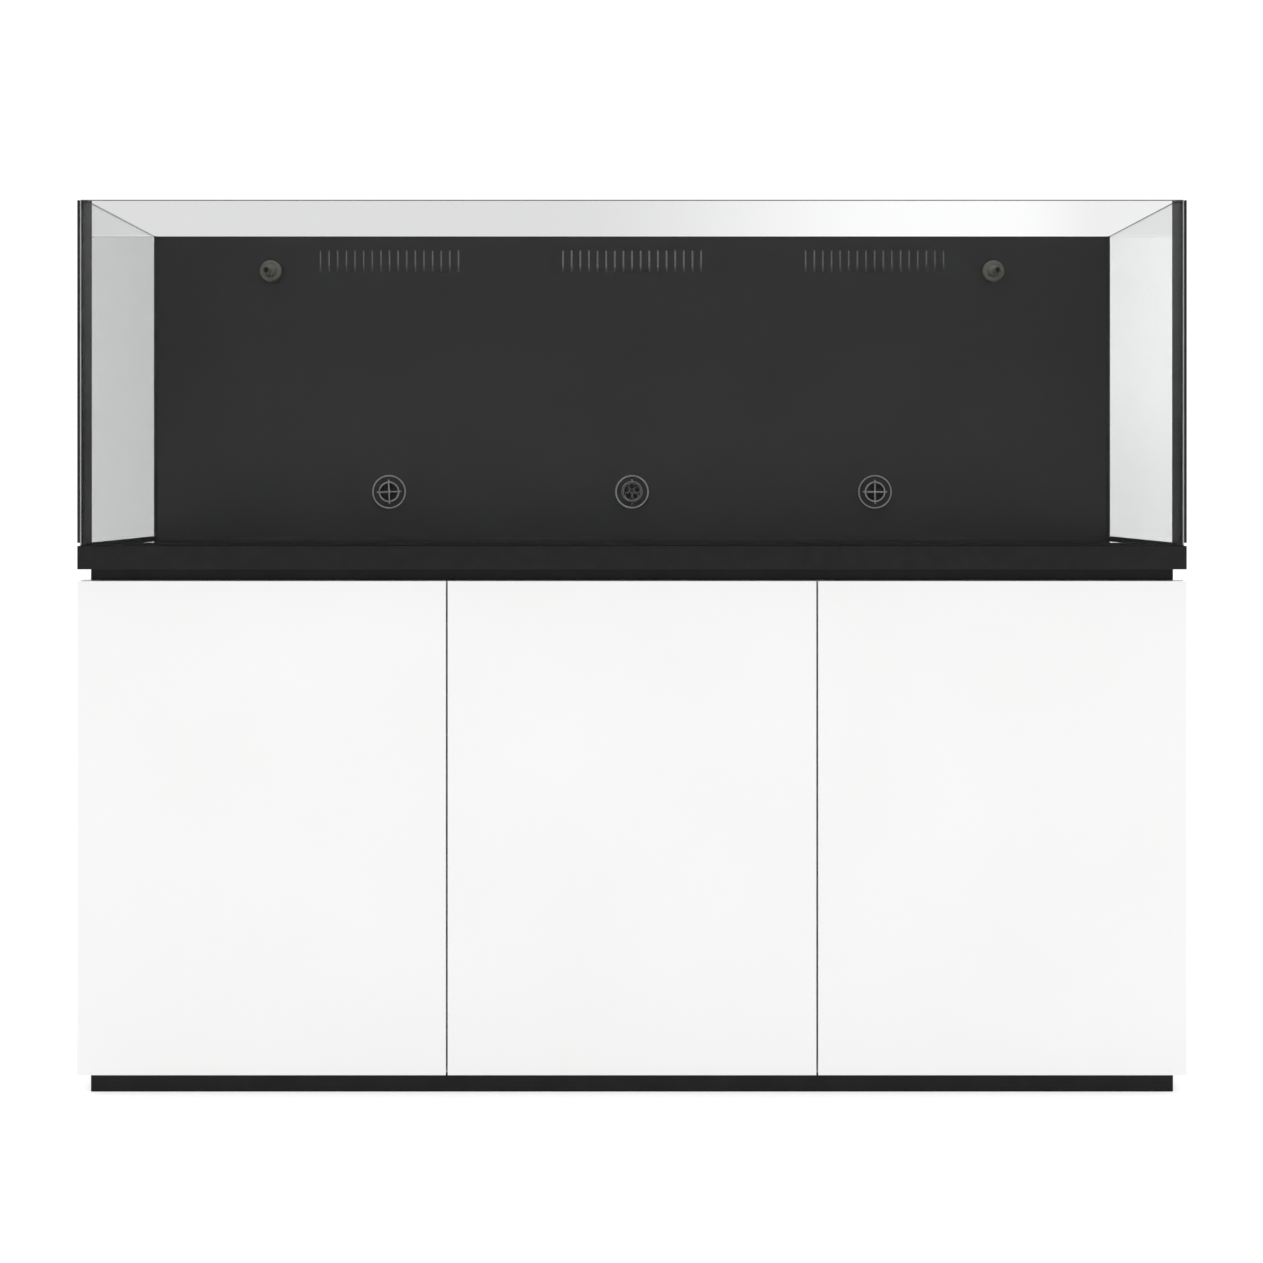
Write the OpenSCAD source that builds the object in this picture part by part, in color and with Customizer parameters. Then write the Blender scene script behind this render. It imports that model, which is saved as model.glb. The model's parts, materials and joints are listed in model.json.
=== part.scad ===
// Rimless glass aquarium with a rear overflow chamber, standing on a three-door sump cabinet.
// Frame: millimetres, +Z up, origin on the floor under the centre, the doors face -Y.

/* [Body] */
// Width of the tank and of the cabinet
body_w = 1800; // [1600:10:1900]
// Depth of the tank and of the cabinet
body_d = 650; // [630:10:700]
// Height of the tank, with the base stack under its glass
tank_h = 600; // [500:10:700]
// Height of the cabinet's carcass, without the plinth
cabinet_h = 804; // [780:2:900]
// Height of the plinth
plinth_h = 30; // [24:1:60]

/* [Boards and glass] */
// Thickness of the cabinet's boards
board_t = 18; // [16:1:19]
// Thickness of the doors
door_t = 19; // [19:1:22]
// Gap between two closed doors
door_gap = 3; // [3:0.5:5]
// How far the plinth and the spacer board stand back
recess = 18; // [10:1:40]
// Thickness of the tank's glass
glass_t = 15; // [12:1:19]
// Thickness of the black weir wall
weir_t = 10; // [8:1:12]

/* [Overflow] */
// Depth of the overflow chamber behind the weir wall
chamber_d = 100; // [100:5:140]
// Distance of the outer combs and ports from the centre
comb_x = 450; // [400:1:500]
// Slots in each comb
slots = 17; // [9:2:21]
// Distance from one slot to the next
slot_pitch = 16; // [10:1:20]
// Width of a slot
slot_w = 3; // [2:0.5:5]
// Height of a slot
slot_h = 40; // [20:1:60]
// Distance of the return nozzles from the centre
nozzle_x = 668; // [640:1:700]

/* [Hidden] */
$fn = 64;

// heights of the stack, from the floor up
carcass_z = [plinth_h, plinth_h + cabinet_h];
bay_z = [carcass_z[0] + board_t, carcass_z[1] - board_t];
tank_z = carcass_z[1] + board_t;
foam_t = 5;
board_z = tank_z + foam_t;
pane_z = board_z + board_t;
floor_z = pane_z + glass_t;
rim_z = tank_z + tank_h;

// widths and depths
half_w = body_w / 2;
half_d = body_d / 2;
bay_x = half_w - board_t;
trim_t = 3;
seam_t = 1;
fillet = 5;
edge_step = 3.5;
arris = 3;
inner_x = half_w - glass_t;
inner_y = half_d - glass_t;
weir_y = inner_y - chamber_d - weir_t;
weir_back = weir_y + weir_t;
weir_top = rim_z - 1.5;
slot_top = rim_z - 27.5;

// doors: left and middle hang on their left edge, right hangs on its right edge
door_w = (body_w - 2 * door_gap) / 3;
door_z = [plinth_h + 1.5, carcass_z[1] - 1];
door_back = -half_d + door_t;
door_set = 4;
carcass_y = door_back + door_set;
back_y = half_d - board_t;
middle_edge = -door_w / 2;
partition_x = [middle_edge - 10, middle_edge + 8];
post_x = [-partition_x[1], -partition_x[0]];

// concealed hinge, seen in a door's own frame: x from its hinged edge, y from its back face
pivot = [9, -12.5];
cup_x = 20.5;
cup_r = 17.5;
cup_depth = 16.1;
pin_r = 1.2;
eye_r = 2.5;
arm_t = 3;
arm_w = 11;
arm_x = 24;
plate_y = [22, 58];
hinge_z = [for (share = [0.12, 0.5, 0.88]) door_z[0] + share * (door_z[1] - door_z[0])];
panel_face = [board_t, partition_x[1] - middle_edge, board_t];

// push latches, one near the free edge of each door
latch_x = [-door_w / 2 - door_gap - 28, door_w / 2 - 28, door_w / 2 + door_gap + 28];
latch_z = bay_z[1] - 9;
plunger_r = 4;
strike_t = 1.5;

// fittings on the weir wall
port_z = floor_z + 87;
port_r = 31;
port_barrel_r = 23.5;
port_bore_r = 16.5;
nozzle_z = rim_z - 67;
nozzle_r = 20;
nozzle_barrel_r = 14.9;
ball_r = 12.5;
ball_out = 9;
ball_gap = 0.3;
spout_r = 7.5;
spout_bore_r = 5;
spout_len = 20;
spout_tilt = 20;

// plumbing: [x, y, pipe radius] of each pipe through the tank's floor
pipe_wall = 2.5;
drain_r = 20;
return_r = 16;
drain_x = -160;
spare_x = -40;
return_x = 580;
stand_y = inner_y - 38;
manifold_y = weir_back + 32;
sump_y = 30;
bulkhead_flange_t = 8;
bulkhead_low = bay_z[1] - 20;
floor_pipes = [[drain_x, stand_y, drain_r], [spare_x, stand_y, drain_r], [return_x, manifold_y, return_r]];
bulkhead_wall = 4;
drain_bend_z = 740;
spare_bend_z = 690;
return_bend_z = 620;
drain_valve_z = 600;
return_valve_z = 480;

// sump in the right two bays
sump_x = [-240, 760];
sump_back = [-180, 240];
sump_t = 10;
sump_h = 380;
sump_floor = bay_z[0] + sump_t;
sump_top = bay_z[0] + sump_h;
baffle_t = 8;
tray_z = sump_top - 30;
tray_end = 38;
trap_x = [380, 420];
cup_foot = tray_z - 240;
strainer_r = 50;

// return pump, standing on the sump's floor with its grille towards +X
pump_axis_z = 46;
pump_out = sump_floor + 102;
volute_x = [50, 75];
shaft_r = 2;

shelf_z = 470;
grommet_x = [-600, 680];
grommet_z = 660;
grommet_r = 25;

// ---- helpers ----

module block(x, y, z) translate([x[0], y[0], z[0]]) cube([x[1] - x[0], y[1] - y[0], z[1] - z[0]]);

module both_sides() {
    children();
    mirror([1, 0, 0]) children();
}

// an upright prism between two heights
module prism(z) translate([0, 0, z[0]]) linear_extrude(z[1] - z[0]) children();

// children in the weir wall's frame: z = 0 on its front face and +z towards the front glass
module on_wall(x, z) translate([x, weir_y, z]) rotate([90, 0, 0]) children();

// children in the frame of one door's hinged edge: 0 left, 1 middle, 2 right
module at_hinge(door) {
    if (door == 0) translate([-half_w, door_back, 0]) children();
    if (door == 1) translate([middle_edge, door_back, 0]) children();
    if (door == 2) mirror([1, 0, 0]) translate([-half_w, door_back, 0]) children();
}

module tube(r, bore, h) difference() {
    cylinder(r = r, h = h);
    translate([0, 0, -1]) cylinder(r = bore, h = h + 2);
}

// a solid rod from a to b, along one of the three axes
module rod(a, b, r) {
    d = b - a;
    turn = d[0] != 0 ? [0, sign(d[0]) * 90, 0] :
        d[1] != 0 ? [-sign(d[1]) * 90, 0, 0] : [d[2] > 0 ? 0 : 180, 0, 0];
    translate(a) rotate(turn) cylinder(r = r, h = norm(d));
}

module rod_path(points, r) {
    for (i = [1:len(points) - 1]) rod(points[i - 1], points[i], r);
    if (len(points) > 2) for (i = [1:len(points) - 2]) translate(points[i]) sphere(r = r);
}

function unit(v) = v / norm(v);

// the sockets of an elbow fitting at each bend of a path
module elbows(points, r) for (i = [1:len(points) - 2]) {
    translate(points[i]) sphere(r = r + 3.5);
    for (other = [points[i - 1], points[i + 1]])
        rod(points[i], points[i] + unit(other - points[i]) * (r + 10), r + 3.5);
}

// the same path with both ends carried on a little, to cut a clean bore
function carried_on(points) = [for (i = [0:len(points) - 1])
    i == 0 ? points[0] + unit(points[0] - points[1]) * 2 :
    i == len(points) - 1 ? points[i] + unit(points[i] - points[i - 1]) * 2 : points[i]];

module pipe_run(points, r) difference() {
    union() {
        rod_path(points, r);
        elbows(points, r);
    }
    rod_path(carried_on(points), r - pipe_wall);
}

module floor_holes(z) for (p = floor_pipes)
    translate([p[0], p[1], z[0] - 1]) cylinder(r = p[2] + bulkhead_wall + 0.5, h = z[1] - z[0] + 2);

// ---- tank ----

// a pane that closes the tank in front or behind, with the outer edges of its outer face ground off
module end_pane(outward) {
    edge = half_w - edge_step;
    outer = outward * half_d;
    prism([floor_z, rim_z]) polygon([
        [-edge, outward * inner_y], [edge, outward * inner_y], [edge, outer - outward * arris],
        [edge - arris, outer], [arris - edge, outer], [-edge, outer - outward * arris]]);
}

module front_pane() color([0.85, 0.93, 0.92, 0.3]) end_pane(-1);

module rear_pane() color([0.06, 0.06, 0.06]) end_pane(1);

module side_pane() block([inner_x, half_w], [seam_t - inner_y, inner_y - seam_t], [floor_z, rim_z]);

module right_pane() color([0.85, 0.93, 0.92, 0.3]) side_pane();

module left_pane() color([0.85, 0.93, 0.92, 0.3]) mirror([1, 0, 0]) side_pane();

module bottom_pane() color([0.7, 0.78, 0.77, 0.5]) difference() {
    z = [pane_z, floor_z];
    block([trim_t - half_w, half_w - trim_t], [trim_t - half_d, half_d - trim_t], z);
    floor_holes(z);
}

module comb_slots(x) for (i = [0:slots - 1])
    translate([x + (i - (slots - 1) / 2) * slot_pitch - slot_w / 2, weir_y - 1, slot_top - slot_h])
        cube([slot_w, weir_t + 2, slot_h]);

module weir_wall() color([0.19, 0.19, 0.19]) difference() {
    block([seam_t - inner_x, inner_x - seam_t], [weir_y, weir_back], [floor_z, weir_top]);
    for (x = [-comb_x, 0, comb_x]) {
        comb_slots(x);
        on_wall(x, port_z) translate([0, 0, -weir_t - 1]) cylinder(r = port_barrel_r + 0.5, h = weir_t + 2);
    }
    for (x = [-nozzle_x, nozzle_x])
        on_wall(x, nozzle_z) translate([0, 0, -weir_t - 1])
            cylinder(r = nozzle_barrel_r + 0.1, h = weir_t + 2);
}

// silicone between an end pane and a side pane: the joint, the step outside and the bead inside
module corner_seam(outward) {
    y = outward * inner_y;
    in = -outward;
    prism([floor_z + fillet, rim_z - 1]) polygon([
        [inner_x - fillet, y], [half_w - edge_step, y], [half_w - edge_step, outward * (half_d - 0.5)],
        [half_w, outward * (half_d - 0.5)], [half_w, y + in * seam_t], [inner_x, y + in * seam_t],
        [inner_x, y + in * (seam_t + fillet)]]);
}

// silicone round the edge of the weir wall where it meets a side pane
module weir_seam() prism([floor_z + fillet, weir_top]) polygon([
    [inner_x, weir_y - fillet], [inner_x, weir_back + fillet], [inner_x - seam_t - fillet, weir_back],
    [inner_x - seam_t, weir_back], [inner_x - seam_t, weir_y], [inner_x - seam_t - fillet, weir_y]]);

module corner_seams() color([0.08, 0.08, 0.08]) both_sides() {
    corner_seam(-1);
    corner_seam(1);
    weir_seam();
}

// a bead along the floor in the corner at y, with the glass on the side that "to" points to
module floor_bead(y, to) translate([-inner_x, y, floor_z]) rotate([90, 0, 90])
    linear_extrude(2 * inner_x) polygon([[0, 0], [-to * fillet, 0], [0, fillet]]);

module side_bead(y) translate([inner_x, y[1], floor_z]) rotate([90, 0, 0])
    linear_extrude(y[1] - y[0]) polygon([[0, 0], [-fillet, 0], [0, fillet]]);

module floor_seams() color([0.08, 0.08, 0.08]) {
    floor_bead(-inner_y, -1);
    floor_bead(weir_y, 1);
    both_sides() side_bead([fillet - inner_y, weir_y - fillet]);
}

module tank_base_trim() color([0.16, 0.16, 0.16]) difference() {
    block([-half_w, half_w], [-half_d, half_d], [tank_z, floor_z]);
    block([trim_t - half_w, half_w - trim_t], [trim_t - half_d, half_d - trim_t], [tank_z - 1, floor_z + 1]);
}

module stack_board(z) difference() {
    block([trim_t - half_w, half_w - trim_t], [trim_t - half_d, half_d - trim_t], z);
    floor_holes(z);
}

module base_board() color([0.12, 0.12, 0.12]) stack_board([board_z, pane_z]);

module foam_mat() color([0.25, 0.25, 0.27]) stack_board([tank_z, board_z]);

// ---- fittings on the weir wall ----

module nozzle_body() difference() {
    union() {
        translate([0, 0, -weir_t - 6]) cylinder(r = nozzle_barrel_r, h = weir_t + 6);
        cylinder(r = nozzle_r - 0.5, h = 3);
        cylinder(r = nozzle_r - 2.5, h = ball_out);
    }
    translate([0, 0, ball_out]) sphere(r = ball_r + ball_gap);
    translate([0, 0, -weir_t - 7]) cylinder(r = 8, h = weir_t + 20);
}

module nozzle_bodies() color([0.1, 0.1, 0.1])
    for (x = [-nozzle_x, nozzle_x]) on_wall(x, nozzle_z) nozzle_body();

// the retaining ring: a knurled cap with a round seat for the ball
module nozzle_collar() difference() {
    translate([0, 0, 3.3]) rotate_extrude() polygon([
        [nozzle_r - 2.2, 0], [nozzle_r, 0], [nozzle_r, 8], [nozzle_r - 2.5, 10.7], [9, 10.7], [9, 6],
        [nozzle_r - 2.2, 6]]);
    translate([0, 0, ball_out]) sphere(r = ball_r + ball_gap);
    for (a = [0:15:345]) rotate(a) translate([nozzle_r + 0.4, 0, 2]) cylinder(r = 1, h = 9);
}

module nozzle_collar_left() color([0.3, 0.3, 0.28]) on_wall(-nozzle_x, nozzle_z) nozzle_collar();

module nozzle_collar_right() color([0.3, 0.3, 0.28]) on_wall(nozzle_x, nozzle_z) nozzle_collar();

// the ball with its spout, tilted from the wall's normal
module nozzle_ball(tilt) translate([0, 0, ball_out]) rotate([0, tilt, 0]) difference() {
    union() {
        sphere(r = ball_r);
        cylinder(r = spout_r, h = spout_len);
    }
    translate([0, 0, -ball_r - 1]) cylinder(r = spout_bore_r, h = spout_len + ball_r + 2);
    translate([0, 0, spout_len - 2]) cylinder(r1 = spout_bore_r, r2 = spout_r - 1, h = 2.1);
}

module nozzle_ball_left() color([0.32, 0.32, 0.3]) on_wall(-nozzle_x, nozzle_z) nozzle_ball(-spout_tilt);

module nozzle_ball_right() color([0.32, 0.32, 0.3]) on_wall(nozzle_x, nozzle_z) nozzle_ball(spout_tilt);

// a flanged barrel with a raised rim, an inner ring, short lugs outside it, and children across its mouth
module port_guard(lugs) {
    difference() {
        union() {
            translate([0, 0, -weir_t - 18]) cylinder(r = port_barrel_r, h = weir_t + 18);
            cylinder(r = port_r, h = 2);
            translate([0, 0, 2]) tube(port_r, port_r - 2.4, 2);
            translate([0, 0, 2]) cylinder(r = port_bore_r + 2.6, h = 2.5);
        }
        translate([0, 0, -weir_t - 19]) cylinder(r = port_bore_r, h = weir_t + 40);
    }
    intersection() {
        cylinder(r = port_bore_r + 0.2, h = 4.2);
        children();
    }
    for (a = lugs) rotate(a) translate([-1.2, port_bore_r + 2, 1.9]) cube([2.4, 4, 2.1]);
}

module cross_bars(turns) for (a = turns) rotate(a)
    translate([-1.2, -port_r, 1.2]) cube([2.4, 2 * port_r, 2.8]);

// a disc with a ring of round holes and a small one in the middle
module drilled_disc() translate([0, 0, 1.2]) difference() {
    cylinder(r = port_r, h = 2.8);
    for (a = [18:72:306]) rotate(a) translate([10.4, 0, -1]) cylinder(r = 5, h = 5);
    translate([0, 0, -1]) cylinder(r = 2.4, h = 5);
}

module port_guard_left() color([0.14, 0.14, 0.14]) on_wall(-comb_x, port_z)
    port_guard([2, 92, 182, 272]) cross_bars([2, 92]);

module port_guard_middle() color([0.14, 0.14, 0.14]) on_wall(0, port_z)
    port_guard([0, 180]) drilled_disc();

module port_guard_right() color([0.14, 0.14, 0.14]) on_wall(comb_x, port_z)
    port_guard([0, 90, 180, 270]) cross_bars([0, 90]);

module wall_nut(r, bore, h) translate([0, 0, -weir_t - h]) difference() {
    cylinder(r = r, h = h, $fn = 8);
    translate([0, 0, -1]) cylinder(r = bore, h = h + 2);
}

module wall_nuts() color([0.1, 0.1, 0.1]) {
    for (x = [-nozzle_x, nozzle_x]) on_wall(x, nozzle_z) wall_nut(22, nozzle_barrel_r + 0.1, 5.8);
    for (x = [-comb_x, 0, comb_x]) on_wall(x, port_z) wall_nut(32, port_barrel_r + 0.1, 8);
}

// ---- plumbing ----

// an upright overflow pipe with slots round its open top
module standpipe(p, top) {
    low = floor_z + bulkhead_flange_t;
    translate([p[0], p[1], low]) difference() {
        union() {
            cylinder(r = p[2], h = top - low);
            cylinder(r = p[2] + 3.5, h = 26);
            translate([0, 0, top - low - 66]) cylinder(r = p[2] + 3, h = 14);
        }
        translate([0, 0, -1]) cylinder(r = p[2] - pipe_wall, h = top - low + 2);
        for (a = [0:30:330]) rotate(a) translate([0, -1.5, top - low - 45]) cube([p[2] + 5, 3, 34]);
    }
}

module standpipes() color([0.35, 0.36, 0.38]) {
    standpipe(floor_pipes[0], nozzle_z - 43);
    standpipe(floor_pipes[1], nozzle_z - 23);
}

module return_manifold() color([0.35, 0.36, 0.38]) {
    wall_end = weir_back + 6;
    run = [[-nozzle_x, wall_end, nozzle_z], [-nozzle_x, manifold_y, nozzle_z],
        [nozzle_x, manifold_y, nozzle_z], [nozzle_x, wall_end, nozzle_z]];
    tee = [return_x, manifold_y, nozzle_z];
    foot = [return_x, manifold_y, floor_z + bulkhead_flange_t];
    difference() {
        union() {
            rod_path(run, return_r);
            elbows(run, return_r);
            rod(foot, tee, return_r - 0.5);
            rod(foot, foot + [0, 0, 26], return_r + 3.5);
            rod(tee - [0, 0, 34], tee, return_r + 3);
            rod(tee - [34, 0, 0], tee + [34, 0, 0], return_r + 4);
        }
        rod_path(carried_on(run), return_r - pipe_wall);
        rod(foot - [0, 0, 2], tee, return_r - pipe_wall - 0.5);
    }
}

module bulkhead(p) {
    barrel_r = p[2] + bulkhead_wall;
    translate([p[0], p[1], 0]) {
        difference() {
            union() {
                translate([0, 0, bulkhead_low]) cylinder(r = barrel_r, h = floor_z - bulkhead_low);
                translate([0, 0, floor_z]) cylinder(r = barrel_r + 8, h = bulkhead_flange_t);
            }
            translate([0, 0, bulkhead_low - 1]) cylinder(r = p[2] - pipe_wall, h = floor_z);
        }
        translate([0, 0, bay_z[1] - 12]) difference() {
            cylinder(r = barrel_r + 9, h = 12, $fn = 8);
            translate([0, 0, -1]) cylinder(r = barrel_r + 0.1, h = 14);
        }
    }
}

module tank_bulkheads() color([0.12, 0.12, 0.12]) for (p = floor_pipes) bulkhead(p);

module sump_drop(x, bend_z) pipe_run([
    [x, stand_y, bulkhead_low], [x, stand_y, bend_z],
    [x, sump_y, bend_z], [x, sump_y, tray_z - 20]], drain_r);

module drain_pipe() color([0.35, 0.36, 0.38]) sump_drop(drain_x, drain_bend_z);

module emergency_pipe() color([0.35, 0.36, 0.38]) sump_drop(spare_x, spare_bend_z);

module return_pipe() color([0.35, 0.36, 0.38]) pipe_run([
    [return_x, sump_y, pump_out], [return_x, sump_y, return_bend_z],
    [return_x, manifold_y, return_bend_z], [return_x, manifold_y, bulkhead_low]], return_r);

// a ball valve round an upright pipe, with its stem towards the doors
module valve_body(x, z, r) translate([x, sump_y, z]) {
    difference() {
        union() {
            translate([0, 0, -36]) cylinder(r = r + 6, h = 72);
            for (low = [-40, 22]) translate([0, 0, low]) cylinder(r = r + 10, h = 18, $fn = 8);
            sphere(r = r + 11);
            rotate([90, 0, 0]) cylinder(r = 11, h = r + 18);
        }
        translate([0, 0, -50]) cylinder(r = r + 0.1, h = 100);
    }
    rotate([90, 0, 0]) translate([0, 0, r + 17]) cylinder(r = 5, h = 12);
}

module valve_bodies() color([0.16, 0.16, 0.17]) {
    valve_body(drain_x, drain_valve_z, drain_r);
    valve_body(return_x, return_valve_z, return_r);
}

// the lever on a valve's stem, along the pipe while the valve is open
module valve_lever(x, z, r) translate([x, sump_y - r - 18.4, z]) rotate([90, 0, 0]) difference() {
    union() {
        cylinder(r = 12, h = 12);
        hull() {
            translate([0, 0, 4]) cylinder(r = 8, h = 8, $fn = 32);
            translate([0, 62, 4]) cylinder(r = 11, h = 8, $fn = 32);
        }
    }
    translate([0, 0, -1]) cylinder(r = 5.05, h = 12);
}

module drain_valve_lever() color([0.7, 0.1, 0.08]) valve_lever(drain_x, drain_valve_z, drain_r);

module return_valve_lever() color([0.7, 0.1, 0.08]) valve_lever(return_x, return_valve_z, return_r);

// ---- cabinet ----

module spacer_board() color([0.13, 0.13, 0.13]) difference() {
    z = [carcass_z[1], tank_z];
    block([recess - half_w, half_w - recess], [recess - half_d, half_d - recess], z);
    floor_holes(z);
}

module carcass_top() color([0.96, 0.96, 0.96]) difference() {
    z = [bay_z[1], carcass_z[1]];
    block([-bay_x, bay_x], [carcass_y, half_d], z);
    floor_holes(z);
}

module bottom_panel() color([0.96, 0.96, 0.96]) difference() {
    block([-bay_x, bay_x], [carcass_y, half_d], [carcass_z[0], bay_z[0]]);
    at_feet() translate([0, 0, carcass_z[0] - 1]) cylinder(r = 5.1, h = 14);
}

module shelf_pin_places(x) for (y = [-220, 230])
    translate([x - 8, y, shelf_z - 2.5]) rotate([0, 90, 0]) children();

// two rows of holes, so that the shelf can be set higher or lower
module pin_holes(x) for (step = [-3:3]) translate([0, 0, 32 * step])
    shelf_pin_places(x) translate([0, 0, -1]) cylinder(r = 2.6, h = 18);

module left_side_panel() color([0.96, 0.96, 0.96]) difference() {
    block([-half_w, -bay_x], [carcass_y, half_d], carcass_z);
    pin_holes(-bay_x);
}

module right_side_panel() color([0.96, 0.96, 0.96]) block([bay_x, half_w], [carcass_y, half_d], carcass_z);

module partition() color([0.96, 0.96, 0.96]) difference() {
    block(partition_x, [carcass_y, back_y], bay_z);
    pin_holes(partition_x[0]);
}

module front_post() color([0.96, 0.96, 0.96]) block(post_x, [carcass_y, carcass_y + 80], bay_z);

module back_panel() color([0.96, 0.96, 0.96]) difference() {
    block([-bay_x, bay_x], [back_y, half_d], bay_z);
    for (x = grommet_x)
        translate([x, back_y - 1, grommet_z]) rotate([-90, 0, 0])
            cylinder(r = grommet_r + 5, h = board_t + 2);
}

module cable_grommets() color([0.12, 0.12, 0.12]) for (x = grommet_x)
    translate([x, back_y - 4, grommet_z]) rotate([-90, 0, 0]) difference() {
        union() {
            cylinder(r = grommet_r + 11, h = 4);
            cylinder(r = grommet_r + 4.9, h = board_t + 4);
        }
        translate([0, 0, -1]) cylinder(r = grommet_r, h = board_t + 6);
    }

module shelf() color([0.96, 0.96, 0.96])
    block([1 - bay_x, partition_x[0] - 1], [carcass_y + 12, back_y - 7], [shelf_z, shelf_z + board_t]);

module shelf_pins() color([0.7, 0.7, 0.72])
    for (x = [-bay_x, partition_x[0]]) shelf_pin_places(x) cylinder(r = 2.5, h = 16);

module plinth_boards() color([0.13, 0.13, 0.13]) {
    x = half_w - recess;
    y = half_d - recess;
    z = [0, plinth_h];
    block([-x, x], [-y, board_t - y], z);
    block([-x, x], [y - board_t, y], z);
    both_sides() block([x - board_t, x], [board_t - y, y - board_t], z);
}

module at_feet() for (x = [-840, -300, 300, 840], y = [-250, 250]) translate([x, y, 0]) children();

module levelling_feet() color([0.1, 0.1, 0.1]) at_feet() {
    cylinder(r = 20, h = 7);
    cylinder(r = 9, h = 12);
    cylinder(r = 5, h = plinth_h + 11);
}

// ---- doors, hinges and latches ----

module door(which) at_hinge(which) difference() {
    block([0, door_w], [-door_t, 0], door_z);
    for (z = hinge_z)
        translate([cup_x, 1, z]) rotate([90, 0, 0]) cylinder(r = cup_r + 0.05, h = cup_depth + 1.1);
}

module door_left() color([0.97, 0.97, 0.97]) door(0);

module door_middle() color([0.97, 0.97, 0.97]) door(1);

module door_right() color([0.97, 0.97, 0.97]) door(2);

// a hinge's cup, with the pin that its arm turns on and its flange on the door's back
module hinge_cup() {
    difference() {
        union() {
            rotate([90, 0, 0]) translate([cup_x, 0, 0]) cylinder(r = cup_r, h = cup_depth);
            block([4, 37], [0, 1.2], [-31, 31]);
        }
        block([5.2, 35], [0.8 - cup_depth, 3], [-6.5, 6.5]);
        block([0, 35], [0, 3], [-6.5, 6.5]);
        for (z = [-24, 24]) translate([cup_x, -1, z]) rotate([-90, 0, 0]) cylinder(r = 2.2, h = 4);
    }
    translate([pivot[0], pivot[1], -9]) cylinder(r = pin_r, h = 18);
}

module hinge_cups(which) {
    at_hinge(which) for (z = hinge_z) translate([0, 0, z]) hinge_cup();
    translate([latch_x[which], door_back, latch_z]) rotate([-90, 0, 0]) cylinder(r = 9, h = strike_t);
}

module hinge_cups_left() color([0.75, 0.76, 0.78]) hinge_cups(0);

module hinge_cups_middle() color([0.75, 0.76, 0.78]) hinge_cups(1);

module hinge_cups_right() color([0.75, 0.76, 0.78]) hinge_cups(2);

// a gooseneck arm: an eye on the cup's pin, a stretch across the cup, and a leg back to the plate
module hinge_arm() {
    low = pivot[1] - eye_r;
    translate([0, 0, -arm_w / 2]) linear_extrude(arm_w) difference() {
        union() {
            translate(pivot) circle(r = eye_r);
            translate([pivot[0], low]) square([arm_x + arm_t - pivot[0], arm_t]);
            translate([arm_x, low]) square([arm_t, plate_y[1] - low]);
        }
        translate(pivot) circle(r = pin_r + 0.05);
    }
}

module hinge_arms() color([0.75, 0.76, 0.78])
    for (which = [0:2]) at_hinge(which) for (z = hinge_z) translate([0, 0, z]) hinge_arm();

// the plate that carries an arm on the panel beside it
module hinge_plate(face) {
    block([face, arm_x], [plate_y[0], plate_y[1]], [-8, 8]);
    block([face, face + 3], [plate_y[0] + 6, plate_y[1] - 6], [-26, 26]);
}

module hinge_plates() color([0.7, 0.71, 0.73])
    for (which = [0:2]) at_hinge(which) for (z = hinge_z) translate([0, 0, z]) hinge_plate(panel_face[which]);

module latch_housings() color([0.9, 0.9, 0.9]) for (x = latch_x) difference() {
    block([x - 9, x + 9], [carcass_y + 4, carcass_y + 62], [bay_z[1] - 18, bay_z[1]]);
    translate([x, carcass_y + 3, latch_z]) rotate([-90, 0, 0]) cylinder(r = plunger_r + 0.06, h = 48);
}

module latch_plunger(which)
    translate([latch_x[which], door_back + strike_t + 0.3, latch_z]) rotate([-90, 0, 0])
        cylinder(r = plunger_r, h = 44);

module latch_plunger_left() color([0.5, 0.5, 0.52]) latch_plunger(0);

module latch_plunger_middle() color([0.5, 0.5, 0.52]) latch_plunger(1);

module latch_plunger_right() color([0.5, 0.5, 0.52]) latch_plunger(2);

// ---- sump ----

module sump_panes() color([0.8, 0.88, 0.87, 0.4]) {
    wall_z = [sump_floor, sump_top];
    inside = [sump_back[0] + sump_t, sump_back[1] - sump_t];
    block(sump_x, sump_back, [bay_z[0], sump_floor]);
    block(sump_x, [sump_back[0], inside[0]], wall_z);
    block(sump_x, [inside[1], sump_back[1]], wall_z);
    block([sump_x[0], sump_x[0] + sump_t], inside, wall_z);
    block([sump_x[1] - sump_t, sump_x[1]], inside, wall_z);
}

module sump_baffles() color([0.12, 0.12, 0.12]) {
    y = [sump_back[0] + sump_t, sump_back[1] - sump_t];
    block([tray_end - baffle_t, tray_end], y, [sump_floor, tray_z]);
    block([trap_x[0], trap_x[0] + baffle_t], y, [sump_floor + 40, tray_z]);
    block([trap_x[1], trap_x[1] + baffle_t], y, [sump_floor, tray_z - 60]);
    block([sump_x[0] + sump_t, sump_x[0] + sump_t + 15], y, [tray_z - 14, tray_z]);
}

module strainer_tray() color([0.9, 0.9, 0.9]) difference() {
    block([sump_x[0] + sump_t + 1, tray_end], [sump_back[0] + sump_t + 1, sump_back[1] - sump_t - 1],
        [tray_z, tray_z + baffle_t]);
    for (x = [drain_x, spare_x])
        translate([x, sump_y, tray_z - 1]) cylinder(r = strainer_r + 1, h = baffle_t + 2);
}

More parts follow.
